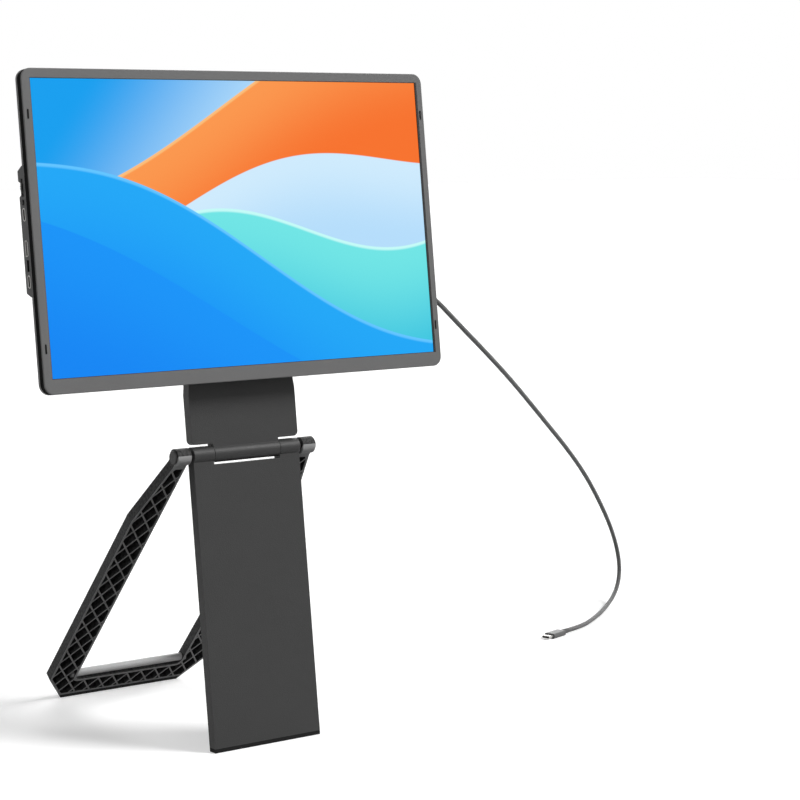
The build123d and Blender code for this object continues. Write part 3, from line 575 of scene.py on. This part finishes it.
def barrel(length, width, z):
    """Outline of the small video socket: a bar with two cut corners, long in y."""
    half, edge, cut = length / 2, width / 2, width * 0.4
    return [(-edge, -half, z), (edge - cut, -half, z), (edge, cut - half, z), (edge, half - cut, z),
            (edge - cut, half, z), (-edge, half, z)]


def add_rim(name, outline, size, place, material):
    """Thin bright frame round a socket, with its edge bevelled."""
    # How far each loop stands outside the opening, and its height
    section = [
        (RIM_WIDTH, 0.0),
        (RIM_WIDTH, RIM_PROUD * 0.6),
        (RIM_WIDTH - RIM_PROUD * 0.5, RIM_PROUD),
        (0.0, RIM_PROUD),
        (0.0, -RIM_SINK),
        (RIM_SLEEVE, -RIM_SINK),
        (RIM_SLEEVE, 0.0),
    ]
    length, width = size
    mesh = bmesh.new()
    loops = [loop(mesh, outline(length + 2 * out, width + 2 * out, z), place) for out, z in section]
    for i, first in enumerate(loops):
        skin(mesh, first, loops[(i + 1) % len(loops)])
    add_piece(name, mesh, material, "screen")


def add_socket_rims(material):
    """Bright rims of the sockets, on the hump's side and on the cable's cover."""
    ports = (
        ("usb_power_rim", POWER_DOWN, stadium, USB_OPENING),
        ("usb_video_rim", VIDEO_DOWN, stadium, USB_OPENING),
        ("mini_video_rim", MINI_VIDEO_DOWN, barrel, MINI_VIDEO_OPENING),
    )
    for name, down, outline, size in ports:
        where = facing(behind(HUMP_SIDE, CASE_HALF[1] - down, PORT_DEPTH), -RIGHT, UP)
        add_rim(name, outline, size, where, material)
    where = facing(behind(PORT_COVER_RIGHT, PORT_COVER_UP, CABLE_DEPTH), RIGHT, UP)
    add_rim("cable_socket_rim", stadium, USB_OPENING, where, material)


def add_relief(name, start, direction, material, node):
    """Grooved strain relief: a taper with rings, turned about the cable."""
    profile = [(0.0, RELIEF_RADIUS)]
    for i in range(GROOVES):
        low = RELIEF_LENGTH * (GROOVES_START + GROOVES_SPAN * i / GROOVES)
        high = low + RELIEF_LENGTH * GROOVE_WIDTH
        radius = RELIEF_RADIUS + (RELIEF_NECK - RELIEF_RADIUS) * low / RELIEF_LENGTH
        floor = radius - GROOVE_DEPTH
        profile += [(low, radius), (low + GROOVE_SLOPE, floor)]
        profile += [(high, floor), (high + GROOVE_SLOPE, radius)]
    cut_back, cut_in = RELIEF_CHAMFER
    profile += [(RELIEF_LENGTH - cut_back, RELIEF_NECK), (RELIEF_LENGTH, RELIEF_NECK - cut_in)]
    mesh = bmesh.new()
    place = facing(start, direction, Vector((0, 0, 1)))
    loops = [loop(mesh, circle(radius, z, RELIEF_SIDES), place) for z, radius in profile]
    for first, second in zip(loops, loops[1:]):
        skin(mesh, first, second)
    mesh.faces.new(loops[0])
    mesh.faces.new(loops[-1])
    return add_piece(name, mesh, material, "screen", [node])


def add_cable():
    """The cable as one NURBS curve on its route, with its strain reliefs and plugs."""
    data = bpy.data.curves.new("braided_cable", "CURVE")
    data.dimensions = "3D"
    data.resolution_u = 12
    data.bevel_depth = CABLE_RADIUS
    data.bevel_resolution = 5
    spline = data.splines.new("NURBS")
    spline.points.add(len(CABLE_ROUTE) - 1)
    for point, where in zip(spline.points, CABLE_ROUTE):
        point.co = (*where, 1)
    spline.order_u = 3
    spline.use_endpoint_u = True
    cable = bpy.data.objects.new("braided_cable", data)
    bpy.context.scene.collection.objects.link(cable)
    data.materials.append(braid("cable_braid", grey(156)))
    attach(cable, "screen")
    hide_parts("cable")
    plug_grey = moulded("plug_grey", grey(92), 0.42)
    give(plug_grey, "near_plug_body", "far_plug_body")
    on_cable = []
    for end, tip, turn in (("near", 0, 1), ("far", -1, -1)):
        outer = Vector(CABLE_ROUTE[tip])
        direction = (Vector(CABLE_ROUTE[tip + turn]) - outer).normalized()
        start = outer - direction * RELIEF_LENGTH
        on_cable.append(add_relief(f"{end}_relief", start, direction, plug_grey, f"{end}_strain_relief"))
        on_cable += [nodes[f"{end}_plug_shell"], nodes[f"{end}_plug_body"]]


def seen(made):
    """1 for what the camera, reflections and glass see, 0 for light on the object."""
    path = made.node("ShaderNodeLightPath").outputs
    rays = made.maths("MAXIMUM", path["Is Camera Ray"], path["Is Glossy Ray"])
    return made.maths("MAXIMUM", rays, path["Is Transmission Ray"])


def add_floor():
    """Plain pale floor that keeps the shadow and shows nearly white."""
    mesh = bpy.data.meshes.new("floor")
    corners = [(x * FLOOR_HALF, y * FLOOR_HALF, 0) for x, y in ((-1, -1), (1, -1), (1, 1), (-1, 1))]
    mesh.from_pydata(corners, [], [(0, 1, 2, 3)])
    floor = bpy.data.objects.new("floor", mesh)
    bpy.context.scene.collection.objects.link(floor)
    made = Material("floor", Roughness=0.9, Specular_IOR_Level=0.0)
    made.set("Base Color", made.blend(seen(made), FLOOR_LIGHT, FLOOR_SEEN))
    made.set("Emission Color", (1, 1, 1, 1))
    made.set("Emission Strength", made.maths("MULTIPLY", seen(made), FLOOR_GLOW))
    mesh.materials.append(made.material)


def add_world():
    """White to look at, softer as a light."""
    world = bpy.data.worlds.new("studio")
    world.use_nodes = True
    bpy.context.scene.world = world
    made = Nodes(world.node_tree)
    background = made.tree.nodes["Background"]
    made.put(background.inputs["Color"], (1, 1, 1, 1))
    made.put(background.inputs["Strength"], made.between(seen(made), WORLD_LIGHT, 1.0))


def add_sun(name, towards, strength, spread):
    """Soft even light from a direction, so the floor is lit alike everywhere."""
    data = bpy.data.lights.new(name, "SUN")
    data.energy = strength
    data.angle = math.radians(spread)
    lamp = bpy.data.objects.new(name, data)
    lamp.location = towards
    lamp.rotation_euler = Vector(towards).to_track_quat("Z", "Y").to_euler()
    bpy.context.scene.collection.objects.link(lamp)


def painted_lip_shade_and_black_wall(made):
    """1 on the bezel's inner lip, which is painted shade, and on its outer wall behind the chamfer,
    which is painted black.
    """
    across = made.along(RIGHT, picture_middle)
    upward = made.maths("ABSOLUTE", made.along(UP, picture_middle))
    # Distances outside the window, set so that every lip of painted shade ends at the right one's width
    widen = SHADE_LIP_WIDTH_RIGHT - SHADE_LIP_WIDTH
    right = made.maths("SUBTRACT", across, WINDOW_SIZE[0] / 2)
    left = made.maths("MULTIPLY_ADD", across, -1, widen - WINDOW_SIZE[0] / 2)
    ends = made.maths("ADD", upward, widen - WINDOW_SIZE[1] / 2)
    away = made.maths("MAXIMUM", made.maths("MAXIMUM", left, right), ends)
    # The lip of painted shade: dark up to its width outside the window
    inner = made.step(away, SHADE_LIP_WIDTH_RIGHT, SHADE_LIP_WIDTH_RIGHT - BEZEL_BLUR)
    wall = BEZEL_CHAMFER - BEZEL_FACE
    depth = made.along(BACK, picture_middle)
    outer = made.step(depth, wall - BEZEL_BLUR / 2, wall + BEZEL_BLUR / 2)
    return made.maths("MAXIMUM", inner, outer)


def rib_top_highlight(made):
    """1 on the ribs' and rim's flat tops on the rear leg's inner face, which are painted lighter as a
    highlight.
    """
    start, end = RIB_HIGHLIGHT_BLUR
    return made.step(made.along(LEG_INWARD, elbow), LEAF_HALF - start, LEAF_HALF - end)


def dress_screen():
    """Case, picture and what lies behind the cover."""
    # The bezel's grey, with painted shade on the lip round its window and its outer wall painted black
    give(moulded("bezel_grey", grey(101), 0.44, mask=painted_lip_shade_and_black_wall, masked=grey(12)), "front_bezel")
    frame_black = moulded("frame_black", grey(22), 0.8, gloss=0.02)
    give(frame_black, "mid_frame", "power_switch", "speakers", "jog_axle")
    give(moulded("bumper_black", grey(20), 0.7, gloss=0.1), "bezel_bumpers")
    give(moulded("cover_grey", grey(120), 0.56, depth=0.00006, gloss=0.2), "back_cover")
    give(moulded("housing_grey", grey(84), 0.56, depth=0.00006, gloss=0.2), "port_housing")
    give(moulded("port_cover_grey", grey(84), 0.56, gloss=0.2), "cable_port_cover")
    give(moulded("button_grey", grey(30), 0.5, gloss=0.2), "power_button")
    give(moulded("wheel_black", grey(22), 0.5, gloss=0.2), "jog_wheel")
    give(moulded("white_film", grey(232), 0.3), "backlight")
    give(picture(), "display_panel")
    give(board("circuit_green"), "controller_board", "driver_board", "cable_port_board")
    steel = metal("socket_steel", srgb(205, 203, 200), 0.28)
    give(steel, "near_plug_shell", "far_plug_shell")
    dull_steel = metal("dull_steel", srgb(96, 95, 93), 0.4)
    give(dull_steel, "usb_c_port_power", "usb_c_port_video", "mini_hdmi_port", "usb_c_port_cable")
    give(moulded("socket_black", grey(8), 0.9, gloss=0.02), "aux_port")
    add_socket_rims(metal("rim_steel", srgb(186, 184, 181), 0.3))
    screw_steel = metal("screw_steel", srgb(88, 88, 90), 0.32)
    edge_x, edge_up = [half - COVER_SCREW_IN for half in CASE_HALF]
    spots = [(x * edge_x, up * edge_up) for x in (-1, 0, 1) for up in (-1, 1)]
    add_screws("cover_screws", spots, CASE_BACK, COVER_SCREW_LENGTH, screw_steel)
    aside = SWIVEL_SCREW_CIRCLE * math.sin(math.radians(45))
    spots = [(x * aside, up * aside) for x in (-1, 1) for up in (-1, 1)]
    add_screws("swivel_screws", spots, PLATE_BACK, SWIVEL_SCREW_LENGTH, screw_steel)


def dress_stand():
    """Ribbed leaves, pins, head and feet."""
    # The leg's dark plastic, with a painted highlight in light grey on the tops of its ribs and rim
    leg_black_with_painted_highlight = moulded("leg_black_with_painted_highlight", grey(52), 0.6, grain=520, depth=0.0001, spread=0.6, speckle=0.9,
                        gloss=0.12, mask=rib_top_highlight, masked=grey(150))
    give(leg_black_with_painted_highlight, "rear_leg")
    give(moulded("stand_black", grey(50), 0.5, grain=1500, gloss=0.25), "front_leg", "upper_arm")
    give(moulded("cap_black", grey(34), 0.5), "elbow_pin_caps", "tilt_pin_caps")
    give(moulded("head_paint", grey(56), 0.42), "head_bracket")
    give(moulded("washer_black", grey(24), 0.6), "swivel_washer")
    give(metal("hinge_steel", srgb(120, 120, 122), 0.3), "elbow_pin", "tilt_pin")
    turned_steel = turned("turned_steel", srgb(120, 120, 122), 0.3, case_middle)
    give(turned_steel, "swivel_plate", "swivel_rivet")
    give(moulded("rod_grey", grey(186), 0.4, grain=1200), "leg_rod")
    foot_rubber = moulded("foot_rubber", grey(22), 0.8, grain=1500, depth=0.0001, gloss=0.15)
    give(foot_rubber, "front_foot_pad", "rear_foot_pad")


add_camera()
add_cable()
dress_screen()
dress_stand()
add_floor()
add_world()
for name, (towards, strength, spread) in SUNS.items():
    add_sun(name, towards, strength, spread)
bpy.context.scene.view_settings.view_transform = "Standard"
